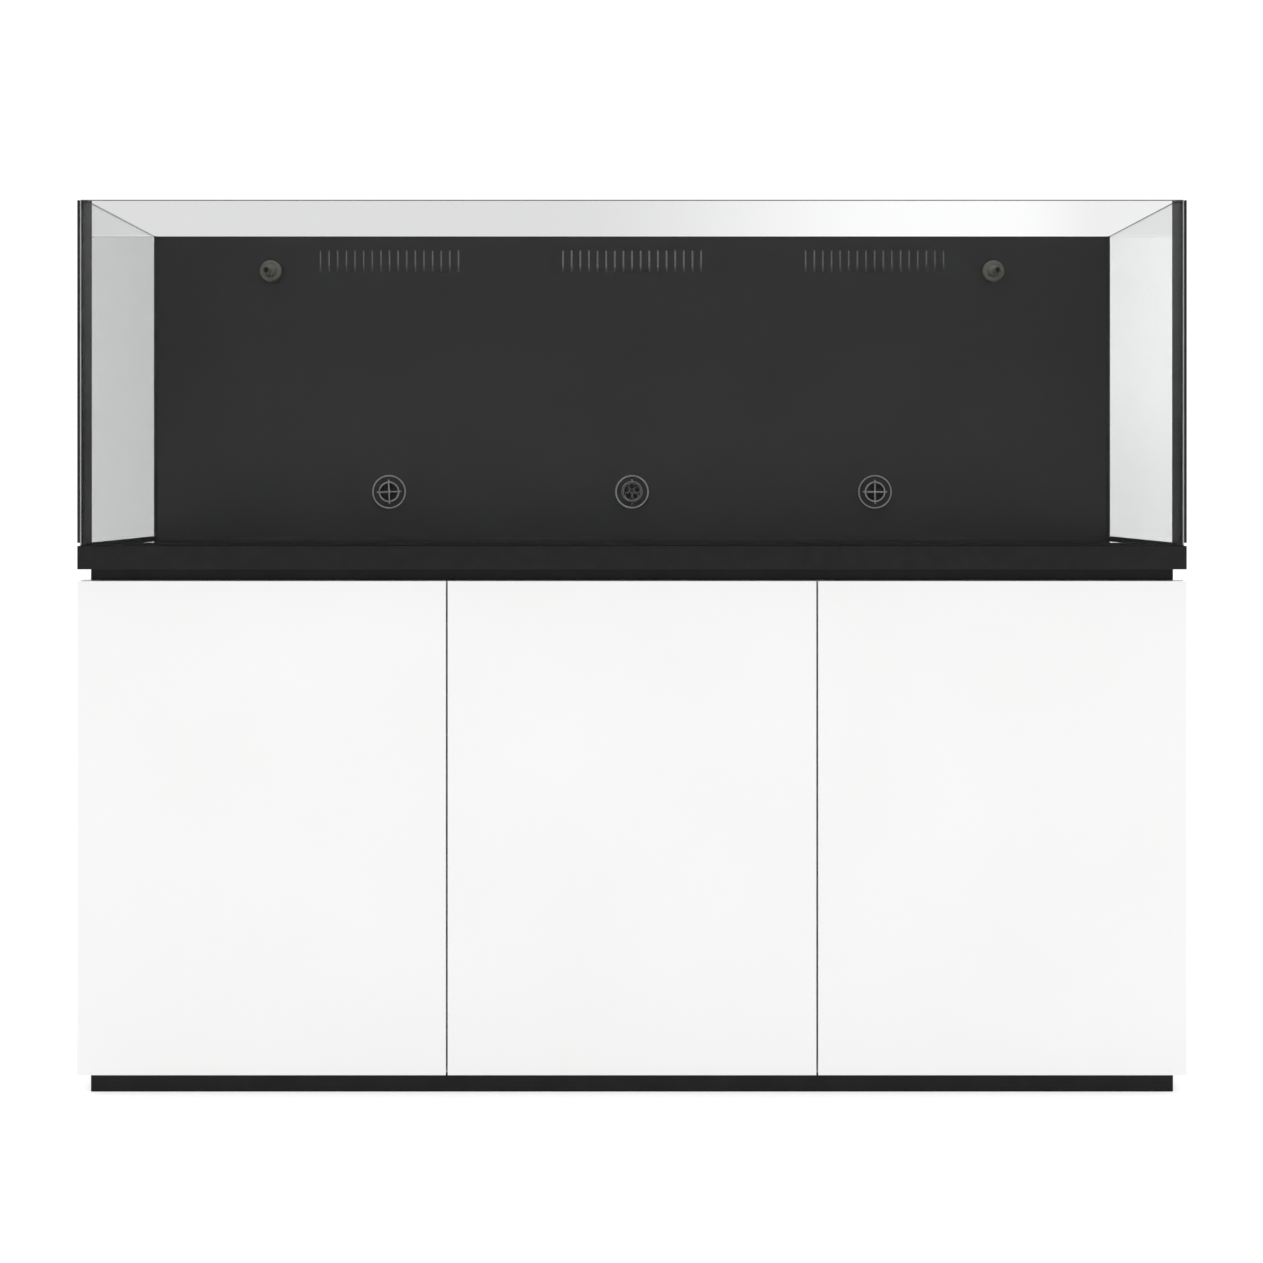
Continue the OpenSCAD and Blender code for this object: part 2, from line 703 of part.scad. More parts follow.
// a slotted cup that hangs in the tray by its rim
module strainer_cup() difference() {
    union() {
        translate([0, 0, cup_foot]) cylinder(r = strainer_r, h = tray_z - cup_foot + baffle_t + 5);
        translate([0, 0, tray_z + baffle_t]) cylinder(r = strainer_r + 8, h = 5);
    }
    translate([0, 0, cup_foot + 3]) cylinder(r = strainer_r - 3, h = 300);
    for (a = [0:30:330], level = [0, 1]) rotate(a)
        translate([strainer_r - 6, -2, cup_foot + 15 + level * 105]) cube([12, 4, 85]);
}

module strainer_cups() color([0.15, 0.15, 0.15])
    for (x = [drain_x, spare_x]) translate([x, sump_y, 0]) strainer_cup();

module return_pump() color([0.1, 0.1, 0.11]) translate([return_x, sump_y, sump_floor]) {
    difference() {
        union() {
            translate([-55, 0, pump_axis_z]) rotate([0, 90, 0]) cylinder(r = 40, h = 96);
            translate([-60, -38, 0]) cube([106, 76, 14]);
            translate([-60, -30, 0]) cube([106, 60, pump_axis_z]);
            translate([0, 0, pump_axis_z]) cylinder(r = return_r + 4, h = 56);
            translate([41, 0, pump_axis_z]) rotate([0, 90, 0]) cylinder(r = 30, h = volute_x[1] - 41);
        }
        translate([0, 0, pump_axis_z + 14]) cylinder(r = return_r - pipe_wall, h = 60);
        translate([volute_x[0], 0, pump_axis_z]) rotate([0, 90, 0]) cylinder(r = 24, h = 40);
        translate([volute_x[0] - 12, 0, pump_axis_z]) rotate([0, 90, 0]) cylinder(r = shaft_r + 0.05, h = 13);
    }
    for (a = [0:30:150]) translate([volute_x[1] - 5, 0, pump_axis_z]) rotate([a, 0, 0])
        translate([0, -26, -1.5]) cube([4, 52, 3]);
}

// the bladed wheel that turns behind the pump's grille
module pump_impeller() color([0.85, 0.85, 0.82]) translate([return_x, sump_y, sump_floor + pump_axis_z])
    rotate([0, 90, 0]) {
        translate([0, 0, volute_x[0] - 11]) cylinder(r = shaft_r, h = 14);
        translate([0, 0, volute_x[0] + 1]) cylinder(r = 21, h = 2);
        translate([0, 0, volute_x[0] + 1]) cylinder(r = 5, h = 16);
        for (a = [0:60:300]) rotate(a) translate([4, -1, volute_x[0] + 2]) cube([16, 2, 13]);
    }

// ---- what is drawn ----

front_pane();
rear_pane();
left_pane();
right_pane();
bottom_pane();
weir_wall();
corner_seams();
floor_seams();
tank_base_trim();
base_board();
foam_mat();
nozzle_bodies();
nozzle_collar_left();
nozzle_collar_right();
nozzle_ball_left();
nozzle_ball_right();
port_guard_left();
port_guard_middle();
port_guard_right();
wall_nuts();
standpipes();
return_manifold();
tank_bulkheads();
drain_pipe();
emergency_pipe();
return_pipe();
valve_bodies();
drain_valve_lever();
return_valve_lever();
spacer_board();
carcass_top();
left_side_panel();
right_side_panel();
partition();
front_post();
back_panel();
bottom_panel();
shelf();
shelf_pins();
plinth_boards();
levelling_feet();
cable_grommets();
door_left();
door_middle();
door_right();
hinge_cups_left();
hinge_cups_middle();
hinge_cups_right();
hinge_arms();
hinge_plates();
latch_housings();
latch_plunger_left();
latch_plunger_middle();
latch_plunger_right();
sump_panes();
sump_baffles();
strainer_tray();
strainer_cups();
return_pump();
pump_impeller();
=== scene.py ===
import json
import math

import bmesh
import bpy
from mathutils import Matrix, Vector


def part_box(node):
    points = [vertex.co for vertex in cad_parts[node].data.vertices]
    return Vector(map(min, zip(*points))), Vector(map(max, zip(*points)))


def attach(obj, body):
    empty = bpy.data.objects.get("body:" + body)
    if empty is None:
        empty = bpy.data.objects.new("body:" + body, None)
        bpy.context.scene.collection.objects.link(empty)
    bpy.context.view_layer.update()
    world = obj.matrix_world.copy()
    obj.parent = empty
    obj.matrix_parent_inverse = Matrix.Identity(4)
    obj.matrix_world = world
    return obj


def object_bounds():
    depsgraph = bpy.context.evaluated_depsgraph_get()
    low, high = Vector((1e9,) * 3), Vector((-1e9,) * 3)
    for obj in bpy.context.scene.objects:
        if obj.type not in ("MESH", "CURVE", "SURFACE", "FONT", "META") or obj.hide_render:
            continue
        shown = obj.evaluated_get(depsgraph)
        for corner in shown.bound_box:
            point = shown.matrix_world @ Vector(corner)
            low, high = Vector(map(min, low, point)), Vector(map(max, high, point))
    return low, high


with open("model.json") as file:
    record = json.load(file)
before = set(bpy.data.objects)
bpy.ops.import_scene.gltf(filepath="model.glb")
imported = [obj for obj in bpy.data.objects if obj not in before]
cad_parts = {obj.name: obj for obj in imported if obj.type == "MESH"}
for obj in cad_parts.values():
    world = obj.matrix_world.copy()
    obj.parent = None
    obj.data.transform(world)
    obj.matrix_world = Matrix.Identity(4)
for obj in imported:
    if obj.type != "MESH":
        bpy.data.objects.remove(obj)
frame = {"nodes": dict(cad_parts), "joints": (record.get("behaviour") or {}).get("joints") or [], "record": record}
NODES = frame["nodes"]
CAD_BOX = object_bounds()

# ---- driving sizes, in metres, read from the frame ----

LOW, HIGH = CAD_BOX
FRONT = LOW.y
FLOOR_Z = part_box("front_pane")[0].z
RIM_Z = HIGH.z
WALL_LOW, WALL_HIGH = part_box("weir_wall")
JOINTS = {joint["name"]: joint for joint in frame["joints"]}
BODY_OF = {node: body for body, nodes in frame["record"]["behaviour"]["bodies"].items() for node in nodes}
SLOT_OF = {part["node"]: part["material_slot"] for part in frame["record"]["subparts"]}
# the record's slot that each material stands for
RECORD_SLOT = {made["slot"]: made["slot"] for made in frame["record"]["materials"]}
RECORD_SLOT["silicone_painted_shade"] = "silicone"


# ---- camera, stage and light ----

# the camera's distance from the front and its height, in metres, and its sensor and lens, in millimetres
EYE_DISTANCE = 3.642
EYE_HEIGHT = 0.984
SENSOR = 36.0
LENS = 64.0
SHIFT = (-0.0004, -0.1136)
# strengths of the studio's even light and of its dark side behind the camera
AMBIENT = 1.12
STUDIO_FRONT = 0.08
# rise over run of the look that grazes the top of the weir wall, and half the blur of the line there
WALL_SLOPE = (WALL_HIGH.z - EYE_HEIGHT) / (WALL_LOW.y - FRONT + EYE_DISTANCE)
SLOPE_BLUR = 0.0007
# glass faces that a look has crossed: up to the first number it went through one pane, past the second more
ONE_PANE, MORE_PANES = 2.2, 2.8


def make_camera():
    """A level camera square to the doors, shifted down to frame the object."""
    data = bpy.data.cameras.new("camera")
    data.sensor_width = SENSOR
    data.lens = LENS
    data.shift_x, data.shift_y = SHIFT
    camera = bpy.data.objects.new("camera", data)
    camera.location = (0, FRONT - EYE_DISTANCE, EYE_HEIGHT)
    camera.rotation_euler = (math.radians(90), 0, 0)
    bpy.context.scene.collection.objects.link(camera)
    bpy.context.scene.camera = camera


class Graph:
    """The world's node tree. Values are sockets or plain numbers."""

    def __init__(self, tree):
        self.tree = tree
        tree.nodes.clear()

    def feed(self, socket, value):
        """Sets a socket to a number, or links a source to it."""
        if isinstance(value, float):
            socket.default_value = value
        else:
            self.tree.links.new(value, socket)

    def ramp(self, source, start, end, low, high):
        """Goes smoothly from low to high while the source goes from start to end."""
        node = self.tree.nodes.new("ShaderNodeMapRange")
        node.interpolation_type = "SMOOTHSTEP"
        names = ("Value", "From Min", "From Max", "To Min", "To Max")
        for name, value in zip(names, (source, start, end, low, high)):
            self.feed(node.inputs[name], value)
        return node.outputs[0]

    def work_out(self, operation, *values):
        """The outcome of a Math node's operation on the values."""
        node = self.tree.nodes.new("ShaderNodeMath")
        node.operation = operation
        for socket, value in zip(node.inputs, values):
            self.feed(socket, value)
        return node.outputs[0]

    def direction(self):
        """The x, y and z of the way that is looked in."""
        split = self.tree.nodes.new("ShaderNodeSeparateXYZ")
        way = self.tree.nodes.new("ShaderNodeTexCoord")
        self.feed(split.inputs[0], way.outputs["Generated"])
        return split.outputs


def backdrop(graph, x, y, z, glass_faces):
    """Strength straight ahead: a lower part that the side panes show, and a higher part over the weir wall,
    which is darker on the left and where a look has crossed more than one pane."""
    low_right = graph.ramp(z, -0.02, 0.06, 1.50, 1.74)
    low_part = graph.ramp(x, -0.15, 0.20, 1.12, low_right)
    over_wall = graph.ramp(x, 0.165, 0.205, 1.08, 0.95)
    high_right = graph.ramp(glass_faces, ONE_PANE, MORE_PANES, over_wall, 0.96)
    high_left = graph.ramp(glass_faces, ONE_PANE, MORE_PANES, 0.80, 0.50)
    high_part = graph.ramp(x, -0.04, 0.13, high_left, high_right)
    slope = graph.work_out("DIVIDE", z, y)
    return graph.ramp(slope, WALL_SLOPE - SLOPE_BLUR, WALL_SLOPE + SLOPE_BLUR, low_part, high_part)


def make_world():
    """A white studio. Soft light comes less from the two sides; what glass shows straight through has the
    backdrop's gradients, and what a gloss mirrors has a dark wall on the camera's side."""
    world = bpy.data.worlds.new("studio")
    bpy.context.scene.world = world
    world.cycles.sampling_method = "NONE"
    world.use_nodes = True
    graph = Graph(world.node_tree)
    x, y, z = graph.direction()
    path = graph.tree.nodes.new("ShaderNodeLightPath").outputs
    ahead = graph.ramp(y, 0.80, 0.93, AMBIENT, backdrop(graph, x, y, z, path["Transmission Depth"]))
    mirrored = graph.ramp(y, -0.55, 0.25, STUDIO_FRONT, ahead)
    seen_in_gloss = graph.ramp(path["Glossy Depth"], 0.2, 0.8, ahead, mirrored)
    sharp = graph.work_out("MAXIMUM", path["Is Glossy Ray"], path["Is Transmission Ray"])
    seen = graph.ramp(sharp, 0.0, 1.0, AMBIENT, seen_in_gloss)
    soft = graph.ramp(graph.work_out("ABSOLUTE", x), 0.3, 1.0, 1.20, 0.78)
    background = graph.tree.nodes.new("ShaderNodeBackground")
    background.inputs["Color"].default_value = (1, 1, 1, 1)
    graph.feed(background.inputs["Strength"], graph.ramp(path["Is Diffuse Ray"], 0.0, 1.0, seen, soft))
    output = graph.tree.nodes.new("ShaderNodeOutputWorld")
    graph.feed(output.inputs["Surface"], background.outputs[0])


def make_floor():
    """A wide pale floor that fades into the white studio."""
    bpy.ops.mesh.primitive_plane_add(size=40, location=(0, 0, 0))
    floor = bpy.context.object
    floor.name = "studio_floor"
    made = Surface("studio_floor")
    made.set("Base Color", (0.66, 0.66, 0.66, 1))
    made.set("Emission Color", (1, 1, 1, 1))
    made.set("Emission Strength", 0.52)
    made.set("Roughness", 0.9)
    made.set("Specular IOR Level", 0.2)
    floor.data.materials.append(made.material)


# ---- materials ----

GLASS_IOR = 1.52


def shade(tone, tint):
    """A grey of that tone, tinted."""
    return [tone * share for share in tint]


class Surface:
    """A Principled material whose detail comes from procedural textures in the row's own metres."""

    def __init__(self, name):
        self.material = bpy.data.materials.new(name)
        self.material.use_nodes = True
        self.tree = self.material.node_tree
        self.shader = next(n for n in self.tree.nodes if n.type == "BSDF_PRINCIPLED")
        self.place = self.tree.nodes.new("ShaderNodeTexCoord").outputs["Object"]

    def set(self, socket, value):
        self.shader.inputs[socket].default_value = value
        return self

    def noise(self, scale, detail=3, packing=(1, 1, 1)):
        """A noise with features of about 1/scale metres, finer along an axis with more packing."""
        mapping = self.tree.nodes.new("ShaderNodeMapping")
        mapping.inputs["Scale"].default_value = packing
        self.tree.links.new(self.place, mapping.inputs["Vector"])
        texture = self.tree.nodes.new("ShaderNodeTexNoise")
        texture.inputs["Scale"].default_value = scale
        texture.inputs["Detail"].default_value = detail
        self.tree.links.new(mapping.outputs[0], texture.inputs["Vector"])
        return texture.outputs["Fac"]

    def span(self, source, start, end, low, high):
        """Goes from low to high while the source goes from start to end."""
        node = self.tree.nodes.new("ShaderNodeMapRange")
        for name, value in (("From Min", start), ("From Max", end), ("To Min", low), ("To Max", high)):
            node.inputs[name].default_value = value
        self.tree.links.new(source, node.inputs["Value"])
        return node.outputs[0]

    def rise(self):
        """0 at the tank's floor and 1 at its rim."""
        split = self.tree.nodes.new("ShaderNodeSeparateXYZ")
        self.tree.links.new(self.place, split.inputs[0])
        return self.span(split.outputs["Z"], FLOOR_Z, RIM_Z, 0.0, 1.0)

    def blend(self, a, b, share):
        """The mean of two sources, with that share of b."""
        mix = self.tree.nodes.new("ShaderNodeMix")
        mix.inputs[0].default_value = share
        self.tree.links.new(a, mix.inputs[2])
        self.tree.links.new(b, mix.inputs[3])
        return mix.outputs[0]

    def vary_colour(self, source, dark, light, low=0.35, high=0.65):
        """The base colour runs from dark to light with the source."""
        ramp = self.tree.nodes.new("ShaderNodeValToRGB")
        ends = ramp.color_ramp.elements
        ends[0].position, ends[1].position = low, high
        ends[0].color, ends[1].color = (*dark, 1), (*light, 1)
        self.tree.links.new(source, ramp.inputs["Fac"])
        self.tree.links.new(ramp.outputs["Color"], self.shader.inputs["Base Color"])

    def vary_roughness(self, source, low, high):
        self.tree.links.new(self.span(source, 0.3, 0.7, low, high), self.shader.inputs["Roughness"])

    def bump(self, source, height):
        """Relief of that height in metres."""
        node = self.tree.nodes.new("ShaderNodeBump")
        node.inputs["Distance"].default_value = height
        self.tree.links.new(source, node.inputs["Height"])
        self.tree.links.new(node.outputs["Normal"], self.shader.inputs["Normal"])


def moulded(name, tone, roughness, tint=(1, 1, 1), mottle=0.12):
    """Moulded plastic: a fine even grain, a faint mottle and patches that shine a little more."""
    made = Surface(name)
    made.vary_colour(made.noise(60), shade(tone * (1 - mottle), tint), shade(tone * (1 + mottle), tint))
    made.vary_roughness(made.noise(25), roughness - 0.06, roughness + 0.06)
    made.bump(made.noise(2500, 2), 0.00002)
    return made


def clear_glass(name, tint, roughness=0.0):
    """Float glass: faint smudges in its gloss and a very slow wave in its faces."""
    made = Surface(name)
    made.set("Base Color", (*tint, 1))
    made.set("Transmission Weight", 1.0)
    made.set("IOR", GLASS_IOR)
    made.vary_roughness(made.noise(9, 4), roughness, roughness + 0.008)
    made.bump(made.noise(2.5, 0), 0.00004)
    return made


def ground_glass(name, tone):
    """The ground edge of a pane: grey, faintly green and softly frosted; made near-black, it is painted shade on
    the panes' edges.
    """
    made = Surface(name)
    made.set("Transmission Weight", 0.15)
    made.set("IOR", GLASS_IOR)
    made.vary_colour(made.noise(30), shade(tone, (0.86, 0.90, 0.89)), shade(tone, (1.0, 1.04, 1.03)))
    made.vary_roughness(made.noise(400), 0.25, 0.42)
    made.bump(made.noise(1500, 2), 0.00003)
    return made


def painted_glass(name):
    """Glass painted black on its back: deep and even, with smudges that only its gloss shows."""
    made = Surface(name)
    made.vary_colour(made.noise(5), (0.010, 0.010, 0.011), (0.014, 0.014, 0.015))
    made.vary_roughness(made.noise(10), 0.02, 0.07)
    return made


def black_sheet(name):
    """The weir wall's sheet: a soft gloss, finely grained, and painted lighter towards the tank's floor to offset
    the shade there, so a little darker towards the rim.
    """
    made = Surface(name)
    # painted light: the colour runs from lighter at the floor to darker at the rim, against the shade that falls
    # low in the tank
    depth = made.blend(made.noise(6), made.rise(), 0.75)
    made.vary_colour(depth, (0.0415, 0.0415, 0.042), (0.0255, 0.0255, 0.026), 0.1, 0.6)
    made.vary_roughness(made.noise(40), 0.36, 0.46)
    made.bump(made.noise(1600, 2), 0.000015)
    return made


def lacquer(name, tone):
    """Sprayed high-gloss lacquer: a hard clear coat with a trace of orange peel over an even colour."""
    made = Surface(name)
    made.vary_colour(made.noise(3.5), shade(tone, (0.985, 0.985, 0.98)), shade(tone, (1, 1, 1)))
    made.vary_roughness(made.noise(14), 0.12, 0.20)
    made.set("Coat Weight", 0.6)
    made.set("Coat Roughness", 0.05)
    made.bump(made.noise(220, 1), 0.000012)
    return made


def melamine(name, tone):
    """Faced board: matt, with the fine pearl of a pressed foil."""
    made = Surface(name)
    made.vary_colour(made.noise(45), [tone * 0.97] * 3, [tone] * 3)
    made.vary_roughness(made.noise(60), 0.42, 0.55)
    made.bump(made.noise(1800, 2), 0.00003)
    return made


def brushed(name, tone):
    """Nickel-plated steel with fine level drawing lines."""
    made = Surface(name)
    lines = (1, 1, 12)
    made.set("Metallic", 1.0)
    made.vary_colour(made.noise(300, 3, lines), [tone * 0.9] * 3, [tone * 1.05] * 3)
    made.vary_roughness(made.noise(300, 3, lines), 0.22, 0.36)
    made.bump(made.noise(900, 2, lines), 0.00001)
    return made


def silicone(name, dark, light):
    """Black silicone, smoothed by hand: soft gloss, slow waves, and a tone that grows lighter towards the rim."""
    made = Surface(name)
    lighter_to_rim = made.blend(made.noise(40), made.rise(), 0.8)
    made.vary_colour(lighter_to_rim, [dark] * 3, [light] * 3, 0.3, 0.95)
    made.vary_roughness(made.noise(30), 0.32, 0.45)
    made.bump(made.noise(90, 2), 0.0002)
    return made


def foam(name):
    """Closed-cell foam: dull, with fine cells that show as speckles and pits."""
    made = Surface(name)
    cells = made.noise(900, 4)
    made.vary_colour(cells, (0.03, 0.03, 0.032), (0.08, 0.08, 0.085))
    made.set("Roughness", 0.95)
    made.bump(cells, 0.0003)
    return made


def dull_board(name, tone, roughness):
    """Black edging or board, with a weak gloss."""
    return moulded(name, tone, roughness).set("Specular IOR Level", 0.25)


def make_materials():
    """The material of each slot, and of the faces and edges that are painted otherwise."""
    return {
        "clear_glass": clear_glass("clear_glass", (0.978, 0.984, 0.982)),
        "black_glass": painted_glass("black_glass"),
        "black_panel": black_sheet("black_panel"),
        "silicone": silicone("silicone", 0.045, 0.150),
        # a darker copy of the silicone: painted shade
        "silicone_painted_shade": silicone("silicone_painted_shade", 0.010, 0.016),
        "ground_glass": ground_glass("ground_glass", 0.62),
        # near-black painted shade on the panes' top faces and edge chamfers, for the dark that the glass's edges
        # show
        "edge_painted_shade": ground_glass("edge_painted_shade", 0.03),
        # the slots' cheeks: partly the frosted grey of cut acrylic, partly a painted highlight for the pale lines
        # the slots show
        "cut_edge_and_highlight": moulded("cut_edge_and_highlight", 0.11, 0.5, mottle=0.2),
        # grey on the black rear pane's inner face: painted light for the shaded chamber seen through the slots
        "chamber_painted_light": moulded("chamber_painted_light", 0.30, 0.5),
        # pale grey on the guards' raised rims and edges: partly wear, partly painted highlight
        "rim_wear_and_highlight": moulded("rim_wear_and_highlight", 0.42, 0.4, (1, 1, 0.97)),
        "black_trim": dull_board("black_trim", 0.0100, 0.5),
        "black_board": dull_board("black_board", 0.0052, 0.55),
        # a lighter copy of the black board: painted light, offsetting the shade on the spacer under the tank's
        # overhang
        "board_painted_light": dull_board("board_painted_light", 0.0105, 0.55),
        "foam": foam("foam"),
        "white_lacquer": lacquer("white_lacquer", 0.81),
        "white_board": melamine("white_board", 0.86),
        "fitting_black": moulded("fitting_black", 0.03, 0.42),
        "nozzle_grey": moulded("nozzle_grey", 0.115, 0.4, (1.0, 1.0, 0.86)),
        "pipe_grey": moulded("pipe_grey", 0.16, 0.3, (0.95, 1.0, 1.08)),
        "valve_body": moulded("valve_body", 0.05, 0.38),
        "lever_red": moulded("lever_red", 0.42, 0.34, (1.0, 0.05, 0.035)),
        "hinge_steel": brushed("hinge_steel", 0.62),
        "latch_grey": moulded("latch_grey", 0.55, 0.45, mottle=0.04),
        "plunger_grey": moulded("plunger_grey", 0.18, 0.4),
        "sump_glass": clear_glass("sump_glass", (0.93, 0.98, 0.965)),
        "baffle_black": moulded("baffle_black", 0.02, 0.2),
        "tray_white": moulded("tray_white", 0.8, 0.3, mottle=0.03),
        "pump_black": moulded("pump_black", 0.02, 0.48),
        "bumper_clear": clear_glass("bumper_clear", (0.9, 0.92, 0.92), 0.25),
        "impeller_white": moulded("impeller_white", 0.62, 0.4, (1, 1, 0.94), mottle=0.04),
    }


# ---- tools for the pieces built here ----

# edges of the pieces built here that turn more than this stay sharp
SMOOTH_ANGLE = 40
BEAD_STEPS = 6
# the radius of a bead's hollow face, as a share of the bead's size
BEAD_HOLLOW = 0.98
SCREW_STEPS = 24
# angles up a screw's dome, from its side to near its top
DOME_TURNS = (0.3, 0.6, 0.9, 1.2)


def new_piece(name, bm, slot, body):
    """Makes an object from the bmesh, with the slot's material, riding on a body."""
    bmesh.ops.recalc_face_normals(bm, faces=bm.faces)
    mesh = bpy.data.meshes.new(name)
    bm.to_mesh(mesh)
    bm.free()
    piece = bpy.data.objects.new(name, mesh)
    bpy.context.scene.collection.objects.link(piece)
    mesh.materials.append(MATERIALS[slot].material)
    mesh.polygons.foreach_set("use_smooth", [True] * len(mesh.polygons))
    mesh.set_sharp_from_angle(angle=math.radians(SMOOTH_ANGLE))
    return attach(piece, body)


def scatter(name, template, matrices, slot, body):
    """One piece made of a copy of the template at each matrix."""
    bm = bmesh.new()
    for matrix in matrices:
        copy = template.copy()
        copy.transform(matrix)
        bm.from_mesh(copy)
        bpy.data.meshes.remove(copy)
    return new_piece(name, bm, slot, body)


def facing(place, direction, turn=0.0):
    """A matrix that puts local z along direction at a place, turned about it."""
    look = Vector(direction).to_track_quat("Z", "Y").to_matrix().to_4x4()
    return Matrix.Translation(place) @ look @ Matrix.Rotation(turn, 4, "Z")


def lathe(bm, profile, steps, matrix=Matrix.Identity(4)):
    """Adds a turned solid. The profile is (radius, height) along local z, and closes where a radius is 0."""
    rings = []
    for radius, height in profile:
        count = steps if radius else 1
        turns = [2 * math.pi * i / steps for i in range(count)]
        spots = [Vector((radius * math.cos(turn), radius * math.sin(turn), height)) for turn in turns]
        rings.append([bm.verts.new(matrix @ spot) for spot in spots])
    for lower, upper in zip(rings, rings[1:]):
        for i in range(steps):
            j = (i + 1) % steps
            around = [lower[i % len(lower)], lower[j % len(lower)]]
            around += [upper[j % len(upper)], upper[i % len(upper)]]
            bm.faces.new(list(dict.fromkeys(around)))


def turned_mesh(name, profile, steps):
    """A mesh of one turned solid about z."""
    bm = bmesh.new()
    lathe(bm, profile, steps)
    mesh = bpy.data.meshes.new(name)
    bm.to_mesh(mesh)
    bm.free()
    return mesh


def cut_away(solid_mesh, cutter_mesh):
    """The mesh of the solid less the cutter."""
    solid, cutter = (bpy.data.objects.new(mesh.name, mesh) for mesh in (solid_mesh, cutter_mesh))
    for each in (solid, cutter):
        bpy.context.scene.collection.objects.link(each)
    cut = solid.modifiers.new("cut", "BOOLEAN")
    cut.object = cutter
    cut.operation = "DIFFERENCE"
    cut.solver = "EXACT"
    cut.use_self = True
    graph = bpy.context.evaluated_depsgraph_get()
    made = bpy.data.meshes.new_from_object(solid.evaluated_get(graph))
    bpy.data.objects.remove(solid)
    bpy.data.objects.remove(cutter)
    return made


def screw_mesh(radius, height, cross):
    """A pan head with a cross recess, its seat at z = 0."""
    dome = [(0, 0), (radius, 0), (radius, 0.35 * height)]
    dome += [(radius * math.cos(a), height * (0.35 + 0.65 * math.sin(a))) for a in DOME_TURNS]
    bm = bmesh.new()
    for turn in (0, math.pi / 2):
        size = Matrix.Diagonal((2 * cross, 0.36 * cross, height, 1))
        place = Matrix.Translation((0, 0, height))
        bmesh.ops.create_cube(bm, size=1, matrix=Matrix.Rotation(turn, 4, "Z") @ place @ size)
    cutter = bpy.data.meshes.new("screw_cross")
    bm.to_mesh(cutter)
    bm.free()
    return cut_away(turned_mesh("screw_head", dome + [(0, height)], SCREW_STEPS), cutter)


def bead(bm, start, end, side_a, side_b, size):
    """Adds a bead of silicone along an inner corner, hollow towards the room between sides a and b."""
    start, end, a, b = (Vector(v) for v in (start, end, side_a, side_b))
    turns = [math.pi / 2 * i / BEAD_STEPS for i in range(BEAD_STEPS + 1)]
    outline = [Vector()] + [
        (a + b) * size - (a * math.cos(t) + b * math.sin(t)) * size * BEAD_HOLLOW for t in reversed(turns)]
    rings = [[bm.verts.new(at + point) for point in outline] for at in (start, end)]
    count = len(outline)
    for i in range(count):
        j = (i + 1) % count
        bm.faces.new([rings[0][i], rings[0][j], rings[1][j], rings[1][i]])
    bm.faces.new(rings[0])
    bm.faces.new(list(reversed(rings[1])))


def islands(node):
    """The box of each separate solid of a CAD node, as (low, high), in order of x and then z."""
    mesh = NODES[node].data
    owner = {}

    def root(key):
        while owner[key] != key:
            owner[key] = owner[owner[key]]
            key = owner[key]
        return key

    keys = [tuple(round(c, 6) for c in v.co) for v in mesh.vertices]
    for key in keys:
        owner.setdefault(key, key)
    for face in mesh.polygons:
        first, *others = [keys[i] for i in face.vertices]
        for other in others:
            owner[root(other)] = root(first)
    groups = {}
    for key in owner:
        groups.setdefault(root(key), []).append(key)
    boxes = [(Vector(map(min, *group)), Vector(map(max, *group))) for group in groups.values()]
    return sorted(boxes, key=lambda box: (round(box[0].x, 3), round(box[0].z, 3)))


def middle(box):
    """The centre of a (low, high) box."""
    return (box[0] + box[1]) / 2


# ---- edges and shading of the CAD nodes ----

# points nearer than this are one point, and edges that turn more than these angles are bevelled or split
WELD_GAP = 0.00002
BEVEL_ANGLE = 35
PANE_ANGLE = 60
SPLIT_ANGLE = 46
# slots with plain flat faces, so that what they show through or mirror isn't bent
FLAT_SLOTS = ("clear_glass", "sump_glass", "black_panel")
# width and segments of the edges of most nodes, and of those in the slots that differ
COMMON_EDGE = (0.0004, 2)
EDGE = {
    "white_board": (0.0005, 2), "black_board": (0.0006, 2), "black_trim": (0.0006, 2),
    "clear_glass": (0.0003, 1), "sump_glass": (0.0003, 1), "black_panel": (0.00025, 1),
    "silicone": (0.0, 0), "foam": (0.0, 0),
}
# nodes whose edges have a width, a material and a bevel angle of their own
OWN_EDGE = {
    # the middle guard's edges get the pale grey of wear and painted highlight
    "port_guard_middle": (0.0009, "rim_wear_and_highlight", BEVEL_ANGLE),
    # the panes' edges get the near-black painted shade
    "front_pane": (0.002, "edge_painted_shade", PANE_ANGLE),
    "left_pane": (0.0016, "edge_painted_shade", PANE_ANGLE),
    "right_pane": (0.0016, "edge_painted_shade", PANE_ANGLE),
}
SILICONE_GAP = 0.00005

# faces are sorted by their normals: over FACING along an axis they face it, under LEANING they don't
FACING = 0.9
LEANING = 0.1
# depths below the rim between which the combs' slots lie, with a millimetre to spare
SLOT_BAND = (0.0685, 0.0265)
# how far the raised rims of the ports' guards stand in front of the wall, at least
RIM_STAND = 0.0035
# radius of the middle guard's drilled disc, which has no pale rim of wear and painted highlight
DRILLED_DISC_R = 0.025
# the outer step of the corners' silicone, from the tank's side
OUTER_STEP = 0.0036


def add_material(piece, name):
    """Adds a material to a piece and returns its index."""
    piece.data.materials.append(MATERIALS[name].material)
    return len(piece.data.materials) - 1


def paint(node, name, chosen):
    """Gives the faces of a CAD node that chosen(centre, normal) picks another material."""
    index = add_material(NODES[node], name)
    for face in NODES[node].data.polygons:
        if chosen(face.center, face.normal):
            face.material_index = index


